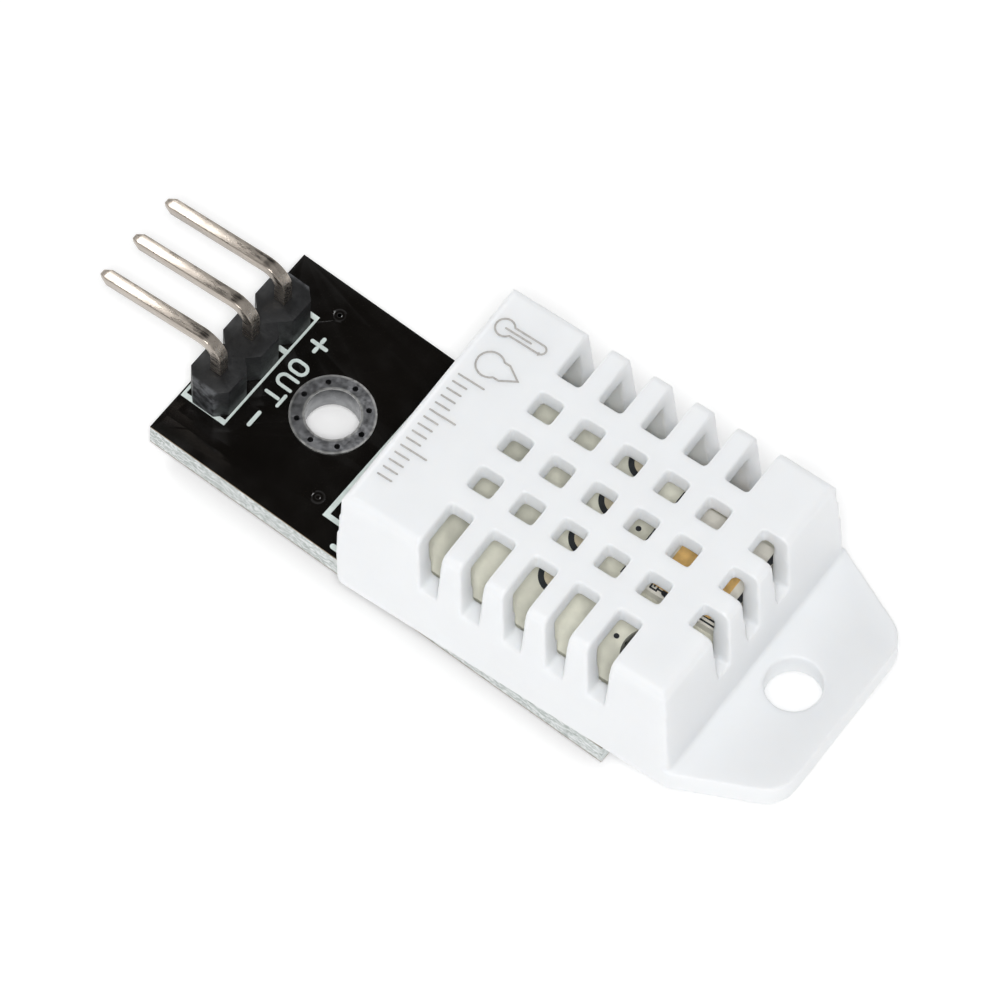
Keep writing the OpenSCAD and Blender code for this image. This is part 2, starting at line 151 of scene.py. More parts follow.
@dataclass(frozen=True)
class Finish:
    """One real material: its colour, gloss and the grain its making leaves."""

    name: str
    colour: str
    roughness: float
    metallic: float = 0.0
    ior: float = 1.5
    mottle: float = 0.06
    mottle_mm: float = 1.2
    grain_um: float = 3.0
    grain_mm: float = 0.12
    rough_swing: float = 0.08
    stretch: tuple[float, float, float] = (1.0, 1.0, 1.0)

    def material(self) -> bpy.types.Material:
        """Builds the material once and returns it."""
        made = bpy.data.materials.get(self.name)
        if made:
            return made
        made = bpy.data.materials.new(self.name)
        made.use_nodes = True
        tree = made.node_tree
        shader = tree.nodes["Principled BSDF"]
        shader.inputs["Metallic"].default_value = self.metallic
        if not self.metallic:
            shader.inputs["IOR"].default_value = self.ior
        self.dress(tree, shader)
        return made

    def place(self, tree: bpy.types.NodeTree) -> bpy.types.NodeSocket:
        """Returns the object's own coordinates, stretched along the grain."""
        coords = add_node(tree, "ShaderNodeTexCoord").outputs["Object"]
        return add_node(tree, "ShaderNodeMapping", {"Scale": self.stretch}, {"Vector": coords}).outputs["Vector"]

    def noise(self, tree: bpy.types.NodeTree, size_mm: float, detail: float = 3.0) -> bpy.types.NodeSocket:
        """Returns noise with grains of the given size."""
        settings = {"Scale": per_mm(size_mm), "Detail": detail}
        return add_node(tree, "ShaderNodeTexNoise", settings, {"Vector": self.place(tree)}).outputs["Fac"]

    def tinted(self, tree: bpy.types.NodeTree) -> bpy.types.NodeSocket:
        """Returns the base colour, mottled a little lighter and darker."""
        base = linear(self.colour)
        dark = tuple(c * (1 - self.mottle) for c in base[:3]) + (1.0,)
        light = tuple(min(1.0, c * (1 + self.mottle)) for c in base[:3]) + (1.0,)
        return ramp(tree, self.noise(tree, self.mottle_mm), [(0.3, dark), (0.7, light)])

    def roughened(self, tree: bpy.types.NodeTree) -> bpy.types.NodeSocket:
        """Returns a roughness that swings round its typical value."""
        settings = {"From Min": 0.3, "From Max": 0.7, "To Min": max(0.02, self.roughness - self.rough_swing),
                    "To Max": self.roughness + self.rough_swing}
        source = self.noise(tree, self.mottle_mm * 0.5)
        return add_node(tree, "ShaderNodeMapRange", settings, {"Value": source}).outputs["Result"]

    def grain(self, tree: bpy.types.NodeTree) -> bpy.types.NodeSocket:
        """Returns the bumped normal of the surface's finest grain."""
        links = {"Height": self.noise(tree, self.grain_mm, 4.0)}
        settings = {"Strength": 1.0, "Distance": self.grain_um * 1e-6}
        return add_node(tree, "ShaderNodeBump", settings, links).outputs["Normal"]

    def dress(self, tree: bpy.types.NodeTree, shader: bpy.types.Node) -> None:
        """Feeds colour, roughness and normal into the shader."""
        tree.links.new(self.tinted(tree), shader.inputs["Base Color"])
        tree.links.new(self.roughened(tree), shader.inputs["Roughness"])
        tree.links.new(self.grain(tree), shader.inputs["Normal"])


@dataclass(frozen=True)
class MouldedAbs(Finish):
    """White ABS from a spark eroded mould: light soaks in, so its edges glow and its shades stay soft."""

    glow: float = 0.6
    depth_mm: float = 0.8

    def dress(self, tree: bpy.types.NodeTree, shader: bpy.types.Node) -> None:
        """Adds the light that travels inside the plastic."""
        super().dress(tree, shader)
        shader.inputs["Subsurface Weight"].default_value = self.glow
        shader.inputs["Subsurface Radius"].default_value = (1.0, 0.95, 0.9)
        shader.inputs["Subsurface Scale"].default_value = self.depth_mm * MM


@dataclass(frozen=True)
class SolderMask(Finish):
    """Liquid photo mask, cured: black with a wet looking skin that dips over the weave below it."""

    weave_mm: float = 0.5
    weave_um: float = 1.2

    def grain(self, tree: bpy.types.NodeTree) -> bpy.types.NodeSocket:
        """Returns the normal of an orange peel skin over a faint glass weave."""
        place = self.place(tree)
        across = []
        for axis in ("X", "Y"):
            settings = {"wave_type": "BANDS", "bands_direction": axis, "wave_profile": "SIN",
                        "Scale": per_mm(self.weave_mm) / 20 * math.pi, "Distortion": 0.4}
            across.append(add_node(tree, "ShaderNodeTexWave", settings, {"Vector": place}).outputs["Fac"])
        weave = add_node(tree, "ShaderNodeMath", {"operation": "ADD"}, {0: across[0], 1: across[1]}).outputs[0]
        woven = add_node(tree, "ShaderNodeBump", {"Strength": 0.6, "Distance": self.weave_um * 1e-6},
                         {"Height": weave}).outputs["Normal"]
        settings = {"Strength": 1.0, "Distance": self.grain_um * 1e-6}
        links = {"Height": self.noise(tree, self.grain_mm, 2.0), "Normal": woven}
        return add_node(tree, "ShaderNodeBump", settings, links).outputs["Normal"]


@dataclass(frozen=True)
class CutLaminate(Finish):
    """Routed glass fibre edge: pale grey green, streaked along the plies, with a darker line of copper and mask."""

    ply_mm: float = 0.2
    board_t: float = 1.6
    skin: str = "#8E7B62"

    def dress(self, tree: bpy.types.NodeTree, shader: bpy.types.Node) -> None:
        """Adds the plies and the dark skin at both faces to the mottled edge."""
        super().dress(tree, shader)
        coords = add_node(tree, "ShaderNodeTexCoord").outputs["Object"]
        height = add_node(tree, "ShaderNodeSeparateXYZ", links={0: coords}).outputs["Z"]
        to_edge = add_node(tree, "ShaderNodeMath", {"operation": "SUBTRACT", 1: self.board_t / 2 * MM}, {0: height})
        away = add_node(tree, "ShaderNodeMath", {"operation": "ABSOLUTE"}, {0: to_edge.outputs[0]}).outputs[0]
        settings = {"From Min": (self.board_t / 2 - 0.11) * MM, "From Max": (self.board_t / 2 - 0.05) * MM}
        skin = add_node(tree, "ShaderNodeMapRange", settings, {"Value": away}).outputs["Result"]
        settings = {"wave_type": "BANDS", "bands_direction": "Z", "Scale": per_mm(self.ply_mm) / 20 * math.pi,
                    "Distortion": 14.0, "Detail": 5.0, "Detail Scale": 3.0}
        plies = add_node(tree, "ShaderNodeTexWave", settings, {"Vector": coords}).outputs["Fac"]
        tint = ramp(tree, plies, [(0.2, linear("#BFC6C3")), (0.75, linear(self.colour))])
        fibre = self.noise(tree, self.grain_mm, 6.0)
        flecks = ramp(tree, fibre, [(0.32, linear("#9BA29E")), (0.52, linear("#FFFFFF"))])
        mixed = add_node(tree, "ShaderNodeMix", {"data_type": "RGBA", "blend_type": "MULTIPLY", "Factor": 0.55},
                         {6: tint, 7: flecks}).outputs[2]
        final = add_node(tree, "ShaderNodeMix", {"data_type": "RGBA", 7: linear(self.skin)},
                         {"Factor": skin, 6: mixed}).outputs[2]
        tree.links.new(final, shader.inputs["Base Color"])


@dataclass(frozen=True)
class TinnedRing(Finish):
    """Hot levelled tin on copper: dull grey where it pooled flat, with a painted highlight along both rims, where the
    tin drew up and its curve catches the light.
    """

    inner_mm: float = 1.4
    outer_mm: float = 2.2
    highlight_rim_mm: float = 0.14
    rim_highlight: str = "#E4E4E2"

    def dress(self, tree: bpy.types.NodeTree, shader: bpy.types.Node) -> None:
        """Adds a painted highlight along the two rims of the mottled tin."""
        super().dress(tree, shader)
        coords = add_node(tree, "ShaderNodeTexCoord").outputs["Object"]
        flat = add_node(tree, "ShaderNodeVectorMath", {"operation": "MULTIPLY", 1: (1.0, 1.0, 0.0)}, {0: coords})
        radius = add_node(tree, "ShaderNodeVectorMath", {"operation": "LENGTH"}, {0: flat.outputs[0]}).outputs["Value"]
        middle = (self.inner_mm + self.outer_mm) / 2 * MM
        off = add_node(tree, "ShaderNodeMath", {"operation": "SUBTRACT", 1: middle}, {0: radius}).outputs[0]
        away = add_node(tree, "ShaderNodeMath", {"operation": "ABSOLUTE"}, {0: off}).outputs[0]
        half = (self.outer_mm - self.inner_mm) / 2
        # Thin bands at both rims are painted lighter: a painted highlight for the curved tin edge.
        settings = {"From Min": (half - self.highlight_rim_mm) * MM, "From Max": (half - self.highlight_rim_mm * 0.5) * MM}
        rim = add_node(tree, "ShaderNodeMapRange", settings, {"Value": away}).outputs["Result"]
        tint = add_node(tree, "ShaderNodeMix", {"data_type": "RGBA", 7: linear(self.rim_highlight)},
                        {"Factor": rim, 6: self.tinted(tree)}).outputs[2]
        tree.links.new(tint, shader.inputs["Base Color"])


@dataclass(frozen=True)
class SnappedNylon(Finish):
    """Black glass filled nylon: matt where moulded, torn grey where the strip was snapped to length."""

    end_mm: float = 3.6
    torn: str = "#55575A"

    def dress(self, tree: bpy.types.NodeTree, shader: bpy.types.Node) -> None:
        """Adds the torn grey ends to the moulded black."""
        super().dress(tree, shader)
        coords = add_node(tree, "ShaderNodeTexCoord").outputs["Object"]
        across = add_node(tree, "ShaderNodeSeparateXYZ", links={0: coords}).outputs["Y"]
        away = add_node(tree, "ShaderNodeMath", {"operation": "ABSOLUTE"}, {0: across}).outputs[0]
        end = add_node(tree, "ShaderNodeMapRange", {"From Min": self.end_mm * MM, "From Max": (self.end_mm + 0.15) * MM},
                       {"Value": away}).outputs["Result"]
        tears = ramp(tree, self.noise(tree, 0.35, 8.0), [(0.4, (0, 0, 0, 1)), (0.62, (1, 1, 1, 1))])
        where = add_node(tree, "ShaderNodeMath", {"operation": "MULTIPLY"}, {0: end, 1: tears}).outputs[0]
        tint = add_node(tree, "ShaderNodeMix", {"data_type": "RGBA", 7: linear(self.torn)},
                        {"Factor": where, 6: self.tinted(tree)}).outputs[2]
        tree.links.new(tint, shader.inputs["Base Color"])


@dataclass(frozen=True)
class StreakedLaminate(Finish):
    """Bare laminate: its resin wiped thin in slanting streaks that show a little darker."""

    streak_mm: float = 1.1
    streak_depth: float = 0.14

    def tinted(self, tree: bpy.types.NodeTree) -> bpy.types.NodeSocket:
        """Returns the mottled colour with slanting streaks over it."""
        plain = super().tinted(tree)
        settings = {"wave_type": "BANDS", "bands_direction": "DIAGONAL", "Scale": per_mm(self.streak_mm) / 20 * math.pi,
                    "Distortion": 2.5, "Detail": 2.0}
        bands = add_node(tree, "ShaderNodeTexWave", settings, {"Vector": self.place(tree)}).outputs["Fac"]
        shade = 1.0 - self.streak_depth
        streaks = ramp(tree, bands, [(0.35, (shade, shade, shade, 1.0)), (0.6, (1.0, 1.0, 1.0, 1.0))])
        return add_node(tree, "ShaderNodeMix", {"data_type": "RGBA", "blend_type": "MULTIPLY", "Factor": 1.0},
                        {6: plain, 7: streaks}).outputs[2]


class Finishes(Enum):
    """Every finish on the module, named for what it is made of."""

    MASK = SolderMask("black_solder_mask", "#0F0D0B", 0.17, ior=1.5, mottle=0.12, mottle_mm=2.5,
                      grain_um=1.5, grain_mm=0.9, rough_swing=0.05)
    EDGE = CutLaminate("routed_glass_laminate", "#E9ECEC", 0.7, grain_um=14, grain_mm=0.18,
                       stretch=(0.35, 0.35, 1.0))
    BORE = Finish("plated_bore_tin", "#8B8C8E", 0.34, metallic=1.0, mottle=0.25, mottle_mm=0.5, grain_um=5)
    RING = TinnedRing("levelled_tin_on_copper", "#A5A6A9", 0.4, metallic=1.0, mottle=0.35, mottle_mm=0.55,
                      grain_um=10, grain_mm=0.3)
    PAD = Finish("tinned_pad", "#B9B8B4", 0.3, metallic=1.0, mottle=0.2, mottle_mm=0.4, grain_um=5, grain_mm=0.2)
    INK = Finish("printed_epoxy_ink", "#D9E4E0", 0.6, mottle=0.09, mottle_mm=0.3, grain_um=6, grain_mm=0.07)
    NYLON = SnappedNylon("moulded_black_nylon", "#111214", 0.5, ior=1.53, mottle=0.2, mottle_mm=0.5,
                         grain_um=12, grain_mm=0.14)
    PIN = Finish("tin_plated_brass_pin", "#B4ABA1", 0.3, metallic=1.0, mottle=0.1, mottle_mm=0.25,
                 grain_um=2, grain_mm=0.07, stretch=(0.12, 1.0, 1.0), rough_swing=0.1)
    SOLDER = Finish("reflowed_tin_solder", "#D6D6D4", 0.2, metallic=1.0, mottle=0.1, mottle_mm=0.5,
                    grain_um=9, grain_mm=0.35, rough_swing=0.1)
    ABS = MouldedAbs("moulded_white_abs", "#F1F3F5", 0.42, ior=1.53, mottle=0.01, mottle_mm=3.0,
                     grain_um=2.2, grain_mm=0.11, rough_swing=0.05)
    LASER = Finish("laser_burnt_abs", "#B4B1AE", 0.75, mottle=0.18, mottle_mm=0.15, grain_um=12, grain_mm=0.05)
    LAMINATE = StreakedLaminate("pale_uncoated_laminate", "#EEEDDD", 0.5, mottle=0.05, mottle_mm=0.6, grain_um=6,
                                grain_mm=0.2)
    FLUX = Finish("fluxed_bare_pad", "#D2C7AE", 0.38, mottle=0.14, mottle_mm=0.5, grain_um=9, grain_mm=0.2)
    BLACK_INK = Finish("black_overprint", "#23262B", 0.5, mottle=0.15, mottle_mm=0.3, grain_um=6, grain_mm=0.1)
    ALUMINA = Finish("fired_alumina", "#E7E4DA", 0.35, mottle=0.05, mottle_mm=0.5, grain_um=5, grain_mm=0.1)
    GILT = Finish("thin_gold_film", "#EBC078", 0.5, metallic=0.25, mottle=0.15, mottle_mm=0.4, grain_um=6,
                  grain_mm=0.12)
    EPOXY = Finish("cast_black_epoxy", "#121315", 0.14, ior=1.55, mottle=0.15, mottle_mm=0.6, grain_um=8,
                   grain_mm=0.5)
    CHIP = Finish("moulded_chip_epoxy", "#1E1F21", 0.55, mottle=0.15, mottle_mm=0.25, grain_um=8, grain_mm=0.08)
    RESISTOR = Finish("resistor_overglaze", "#151618", 0.25, mottle=0.12, mottle_mm=0.3, grain_um=6, grain_mm=0.15)
    CERAMIC = Finish("sintered_capacitor_ceramic", "#B7987A", 0.45, mottle=0.12, mottle_mm=0.3, grain_um=8,
                     grain_mm=0.1)
    TAN_CERAMIC = Finish("pale_capacitor_ceramic", "#D8C8B8", 0.45, mottle=0.1, mottle_mm=0.3, grain_um=8,
                         grain_mm=0.1)
    PAPER = Finish("pale_studio_sweep", "#F4F4F4", 0.8, mottle=0.004, mottle_mm=60.0, grain_um=4, grain_mm=0.6)

    def material(self) -> bpy.types.Material:
        """Returns the finish's material."""
        return self.value.material()


# Mesh helpers

def new_piece(name: str, mesh: bpy.types.Mesh, finish: Finishes) -> bpy.types.Object:
    """Makes an object of a mesh, dresses it and lets it ride on the module.

    Args:
        name: the piece's name.
        mesh: its mesh, in the module's frame.
        finish: what it is made of.

    Returns:
        The new object.
    """
    piece = bpy.data.objects.new(name, mesh)
    bpy.context.scene.collection.objects.link(piece)
    if not mesh.materials:
        mesh.materials.append(finish.material())
    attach(piece, BODY)
    LOG.info("piece %s: %d faces", name, len(mesh.polygons))
    return piece


def cleaned(node: str) -> bmesh.types.BMesh:
    """Copies a solid's mesh and welds and merges its flat faces."""
    work = bmesh.new()
    work.from_mesh(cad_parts[node].data)
    bmesh.ops.remove_doubles(work, verts=work.verts, dist=1e-7)
    bmesh.ops.dissolve_limit(work, angle_limit=math.radians(0.6), verts=work.verts, edges=work.edges)
    return work


def finished(work: bmesh.types.BMesh, name: str) -> bpy.types.Mesh:
    """Turns a bmesh into a mesh and frees it."""
    mesh = bpy.data.meshes.new(name)
    work.to_mesh(mesh)
    work.free()
    return mesh


def with_modifiers(mesh: bpy.types.Mesh, steps: Iterable[tuple[str, dict]]) -> bpy.types.Mesh:
    """Returns a copy of a mesh with modifiers applied in order.

    Args:
        mesh: the mesh to start from.
        steps: each modifier's type and settings.

    Returns:
        The new mesh.
    """
    carrier = bpy.data.objects.new("carrier", mesh)
    bpy.context.scene.collection.objects.link(carrier)
    for kind, settings in steps:
        modifier = carrier.modifiers.new(kind.lower(), kind)
        for key, value in settings.items():
            setattr(modifier, key, value)
    bpy.context.view_layer.update()
    shaped = carrier.evaluated_get(bpy.context.evaluated_depsgraph_get())
    result = bpy.data.meshes.new_from_object(shaped)
    bpy.data.objects.remove(carrier)
    return result


def smooth_shaded(mesh: bpy.types.Mesh, angle: float = 32.0) -> bpy.types.Mesh:
    """Shades a mesh smooth except across edges sharper than the angle."""
    mesh.polygons.foreach_set("use_smooth", [True] * len(mesh.polygons))
    mesh.set_sharp_from_angle(angle=math.radians(angle))
    return mesh


def softened(node: str, name: str, radius: float, segments: int = 2) -> bpy.types.Mesh:
    """Copies a solid with its sharp edges rounded.

    Args:
        node: the solid's node.
        name: the new mesh's name.
        radius: edge radius in millimetres.
        segments: faces across each rounded edge.

    Returns:
        The new mesh.
    """
    bevel = {"width": radius * MM, "segments": segments, "limit_method": "ANGLE",
             "angle_limit": math.radians(28), "use_clamp_overlap": True, "harden_normals": False}
    mesh = with_modifiers(finished(cleaned(node), name), [("BEVEL", bevel)])
    mesh.name = name
    return smooth_shaded(mesh)


def ribbon(work: bmesh.types.BMesh, path: Sequence[Point], width: float, low: float, high: float,
           closed: bool = False, frame_matrix: Matrix = Matrix.Identity(4)) -> None:
    """Adds a flat stroke of constant width along a path, with round ends where it is open.

    Args:
        work: the bmesh that takes the stroke.
        path: points in millimetres.
        width: width of the stroke.
        low: height of its underside.
        high: height of its top.
        closed: whether the path returns to its start.
        frame_matrix: where the stroke's own plane lies in the module's frame.
    """
    points = [Vector(p) for p in path]
    count = len(points)
    left, right = [], []
    for i, point in enumerate(points):
        before = points[i - 1] if closed or i else None
        after = points[(i + 1) % count] if closed or i < count - 1 else None
        first = (point - before).normalized() if before is not None else (after - point).normalized()
        second = (after - point).normalized() if after is not None else first
        tangent = (first + second).normalized()
        normal = Vector((-tangent.y, tangent.x))
        reach = width / 2 / max(0.4, normal.dot(Vector((-first.y, first.x))))
        left.append(point + normal * reach)
        right.append(point - normal * reach)
    if closed:
        loops = [left, right]
    else:
        caps = []
        for end, inner in ((points[-1], points[-2]), (points[0], points[1])):
            out = (end - inner).normalized()
            start = math.atan2(out.y, out.x) + math.pi / 2
            caps.append([end + Vector((math.cos(start - a), math.sin(start - a))) * width / 2
                         for a in (math.pi * k / 6 for k in range(1, 6))])
        loops = [left + caps[0] + right[::-1] + caps[1]]
    rings = [[[work.verts.new(frame_matrix @ Vector((p.x * MM, p.y * MM, z * MM))) for p in loop]
              for z in (low, high)] for loop in loops]
    if closed:
        for i in range(count):
            k = (i + 1) % count
            (l0, l1), (r0, r1) = rings
            work.faces.new((l1[i], r1[i], r1[k], l1[k]))
            work.faces.new((l0[i], l0[k], r0[k], r0[i]))
            work.faces.new((l0[i], l1[i], l1[k], l0[k]))
            work.faces.new((r0[i], r0[k], r1[k], r1[i]))
    else:
        bottom, top = rings[0]
        work.faces.new(top)
        work.faces.new(bottom[::-1])
        for i in range(len(top)):
            k = (i + 1) % len(top)
            work.faces.new((bottom[i], bottom[k], top[k], top[i]))


def arc(centre: Point, radius: float, start: float, stop: float, steps: int = 10) -> list[Point]:
    """Returns points on an arc, from start to stop in degrees."""
    angles = (math.radians(start + (stop - start) * i / steps) for i in range(steps + 1))
    return [(centre[0] + radius * math.cos(a), centre[1] + radius * math.sin(a)) for a in angles]


def stroke_piece(name: str, strokes: Sequence[tuple[Sequence[Point], bool]], width: float, low: float, high: float,
                 finish: Finishes, frame_matrix: Matrix = Matrix.Identity(4)) -> bpy.types.Object:
    """Makes one piece of several strokes.

    Args:
        name: the piece's name.
        strokes: each stroke's path, and whether it is closed.
        width: width of every stroke.
        low: height of the underside.
        high: height of the top.
        finish: what the strokes are made of.
        frame_matrix: where their plane lies.

    Returns:
        The new object.
    """
    work = bmesh.new()
    for path, closed in strokes:
        ribbon(work, path, width, low, high, closed, frame_matrix)
    bmesh.ops.recalc_face_normals(work, faces=work.faces)
    return new_piece(name, finished(work, name), finish)


def dress_node(node: str, finish: Finishes, angle: float = 32.0) -> None:
    """Gives a solid that stays as it is its finish."""
    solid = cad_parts[node]
    solid.data.materials.clear()
    solid.data.materials.append(finish.material())
    LOG.info("solid %s: %s", node, finish.value.name)


# Sub-assemblies

@dataclass
class CarrierBoard:
    """The narrow black board with its plated mounting hole, print and hidden traces."""

    thickness: float = 1.6
    edge_radius: float = 0.04
    print_height: float = 0.03
    trace_height: float = 0.018
    trace_width: float = 0.5
    via_radius: float = 0.38
    vias: tuple[Point, ...] = ((-3.15, 4.55), (2.25, -4.05))
    stroke: float = 0.21
    sign_x: float = -2.9
    sign_y: float = 2.6
    sign_size: float = 1.05
    word_x: float = -3.4
    word_height: float = 0.95

    def build(self) -> None:
        """Builds the board, its traces, vias and signs."""
        self.build_slab()
        self.build_traces()
        self.build_vias()
        self.build_signs()
        dress_node("mounting_hole_plating", Finishes.RING)
        dress_node("board_print", Finishes.INK)
        dress_node("header_pads", Finishes.PAD)
        dress_node("sensor_pads", Finishes.PAD)

    def build_slab(self) -> None:
        """Builds the slab: mask on its faces, cut laminate at its edges, tin in its holes."""
        mesh = softened("carrier_board", "board_slab", self.edge_radius)
        mesh.materials.clear()
        for finish in (Finishes.MASK, Finishes.EDGE, Finishes.BORE):
            mesh.materials.append(finish.material())
        low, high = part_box("carrier_board")
        for face in mesh.polygons:
            centre = face.center
            rim = min(centre.x - low[0], high[0] - centre.x, centre.y - low[1], high[1] - centre.y)
            if abs(face.normal.z) > 0.6:
                face.material_index = 0
            else:
                face.material_index = 1 if rim < self.edge_radius * 3 * MM else 2
        piece = new_piece("board_slab", mesh, Finishes.MASK)
        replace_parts(piece, "carrier_board")

    def build_traces(self) -> None:
        """Builds the copper runs that lift the mask a little on both faces."""
        low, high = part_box("carrier_board")
        header, leads = -5.18, 4.32
        top = [
            [(header - 1.2, -4.85), (header + 0.6, -4.85), (-2.6, -4.85), (-0.6, -4.6), (2.25, -4.05)],
            [(header, 2.54), (-3.15, 4.55)],
            [(-3.15, 4.55), (0.4, 4.9), (leads - 0.6, 4.6)],
        ]
        under = [
            [(header, 0.0), (-3.4, -1.8), (-2.4, -3.3), (2.3, -3.3), (leads, -1.0)],
            [(header, -2.54), (-3.9, -4.3), (2.6, -4.6), (leads + 1.6, -4.4), (chip_x := 9.2, -2.6 - 1.4)],
            [(leads, 3.95), (7.2, 3.95), (chip_x - 0.9, 2.4)],
            [(leads, -1.0), (6.4, -1.0), (8.3, -2.6)],
        ]
        for name, routes, z0, z1 in (("top_traces", top, self.thickness, self.thickness + self.trace_height),
                                     ("under_traces", under, -self.trace_height, 0.0)):
            strokes = [(route, False) for route in routes]
            stroke_piece(name, strokes, self.trace_width, z0, z1, Finishes.MASK)

    def build_vias(self) -> None:
        """Builds the two small vias that the mask closes over, each a low ring with a dimple."""
        work = bmesh.new()
        profile = [(0.0, 0.0), (0.07, 0.003), (0.13, 0.03), (0.2, 0.045), (0.29, 0.03), (self.via_radius, 0.0)]
        for x, y in self.vias:
            for face_z, up in ((self.thickness, 1), (0.0, -1)):
                rings = []
                for radius, rise in profile[1:]:
                    z = (face_z + up * rise) * MM
                    rings.append([work.verts.new((x * MM + radius * MM * math.cos(a), y * MM + radius * MM * math.sin(a), z))
                                  for a in (2 * math.pi * k / 20 for k in range(20))])
                work.faces.new(rings[0])
                for inner, outer in zip(rings, rings[1:]):
                    for k in range(20):
                        j = (k + 1) % 20
                        work.faces.new((inner[k], inner[j], outer[j], outer[k]))
        bmesh.ops.recalc_face_normals(work, faces=work.faces)
        mesh = smooth_shaded(finished(work, "tented_vias"), 60)
        new_piece("tented_vias", mesh, Finishes.MASK)

    def build_signs(self) -> None:
        """Builds the plain pin signs: a plus, a minus and the word for the signal pin."""
        top = self.thickness
        half = self.sign_size / 2
        x, y = self.sign_x, self.sign_y
        reach = half - self.stroke / 2
        gap = self.stroke / 2
        plus = [([(x - reach, y), (x + reach, y)], False),
                ([(x, y + gap + self.stroke / 2), (x, y + reach)], False),
                ([(x, y - gap - self.stroke / 2), (x, y - reach)], False)]
        minus = [([(x, -y - reach), (x, -y + reach)], False)]
        dab = [([(4.5, -5.72), (5.4, -5.72)], False)]
        stroke_piece("print_dab", dab, 0.3, top, top + self.print_height, Finishes.INK)
        stroke_piece("plus_sign", plus, self.stroke, top, top + self.print_height, Finishes.INK)
        stroke_piece("minus_sign", minus, self.stroke, top, top + self.print_height, Finishes.INK)
        # The word reads along -Y with its letters' tops towards +X
        h, w = self.word_height, 0.62
        base = self.word_x
        letters: list[tuple[list[Point], bool]] = []
        def turned(path: Sequence[Point], start: float) -> list[Point]:
            """Lays a letter's own points along -Y from its start."""
            return [(base + v, start - u) for u, v in path]
        ring = arc((w / 2, h - w / 2), w / 2, 0, 180) + arc((w / 2, w / 2), w / 2, 180, 360)
        letters.append((turned(ring, 1.3), True))
        cup = [(0, h)] + arc((w / 2, w / 2), w / 2, 180, 360) + [(w, h)]
        letters.append((turned(cup, 0.32), False))
        letters.append((turned([(0, h), (w + 0.06, h)], -0.66), False))
        letters.append((turned([(w / 2 + 0.03, 0), (w / 2 + 0.03, h - self.stroke)], -0.66), False))
        stroke_piece("out_word", letters, self.stroke * 0.85, top, top + self.print_height, Finishes.INK)


@dataclass
class PinHeader:
    """The three way header: snapped nylon strip, bent square pins and their joints."""

    names: tuple[str, ...] = ("minus", "out", "plus")
    pin_edge: float = 0.05
    strip_edge: float = 0.06

    def build(self) -> None:
        """Builds the strip, the pins and the solder below them."""
        strip = new_piece("header_strip", softened("header_insulator", "header_strip", self.strip_edge),
                          Finishes.NYLON)
        strip.data.materials.clear()
        strip.data.materials.append(Finishes.NYLON.material())
        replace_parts(strip, "header_insulator")
        for name in self.names:
            mesh = softened(f"header_pin_{name}", f"pin_{name}", self.pin_edge, 3)
            mesh.materials.clear()
            pin = new_piece(f"pin_{name}", mesh, Finishes.PIN)
            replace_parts(pin, f"header_pin_{name}")
            dress_node(f"header_solder_{name}", Finishes.SOLDER)


@dataclass
class SensorCase:
    """The grilled white case, skewed on the board, with its back plate and burnt marking."""

    x: float = 5.35
    y: float = 0.45
    z: float = 1.7
    yaw: float = 2.25
    lift: float = 2.6
    height: float = 8.4
    voxel: float = 0.1
    rounding_passes: int = 6
    share_kept: float = 0.3
    mark_depth: float = 0.012
    mark_line: float = 0.1

    def matrix(self) -> Matrix:
        """Returns where the case's own frame lies in the module's."""
        place = Matrix.Translation(Vector((self.x, self.y, self.z)) * MM)
        turn = Matrix.Rotation(math.radians(self.yaw), 4, "Z") @ Matrix.Rotation(math.radians(-self.lift), 4, "Y")
        return place @ turn

    def build(self) -> None:
        """Builds the shell, its marking and the back plate."""
        self.build_shell()
        self.build_marking()
        plate = softened("back_plate", "case_back", 0.08)
        plate.materials.clear()
        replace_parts(new_piece("case_back", plate, Finishes.ABS), "back_plate")

    def build_shell(self) -> None:
        """Builds the shell: the moulded solid with every edge run round as a mould leaves it."""
        work = cleaned("grille_cover")
        to_large = Matrix.Scale(1 / MM, 4)
        bmesh.ops.transform(work, matrix=to_large @ self.matrix().inverted(), verts=work.verts)
        bmesh.ops.triangulate(work, faces=work.faces)
        rough = finished(work, "case_rough")
        steps = [("REMESH", {"mode": "VOXEL", "voxel_size": self.voxel, "use_smooth_shade": True}),
                 ("SMOOTH", {"factor": 0.5, "iterations": self.rounding_passes}),
                 ("DECIMATE", {"ratio": self.share_kept})]
        mesh = with_modifiers(rough, steps)
        mesh.name = "case_shell"
        ceiling = self.height - self.mark_depth
        for vertex in mesh.vertices:
            vertex.co.z = min(max(vertex.co.z, 0.0), ceiling)
        mesh.transform(self.matrix() @ Matrix.Scale(MM, 4))
        mesh.materials.clear()
        mesh.polygons.foreach_set("use_smooth", [True] * len(mesh.polygons))
        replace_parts(new_piece("case_shell", mesh, Finishes.ABS), "grille_cover")

    def build_marking(self) -> None:
        """Builds a plain burnt marking: a thermometer, a drop and a ruled scale."""
        strokes: list[tuple[list[Point], bool]] = []
        strokes.append((arc((1.45, 5.0), 0.5, 32, 328, 16) + [(3.6, 4.735)] + arc((3.6, 5.0), 0.265, -90, 90, 8), True))
        strokes.append(([(1.5, 5.0), (3.0, 5.0)], False))
        strokes.append(([(3.7, 2.9), (2.9, 3.4)] + arc((2.05, 2.9), 0.72, 44, 316, 18) + [(2.9, 2.4)], True))
        for k in range(15):
            y = 1.6 - k * 0.48
            strokes.append(([(1.1, y), (2.6 if k % 5 == 0 else 1.9, y)], False))
        stroke_piece("burnt_marking", strokes, self.mark_line, self.height - self.mark_depth, self.height,
                     Finishes.LASER, self.matrix())


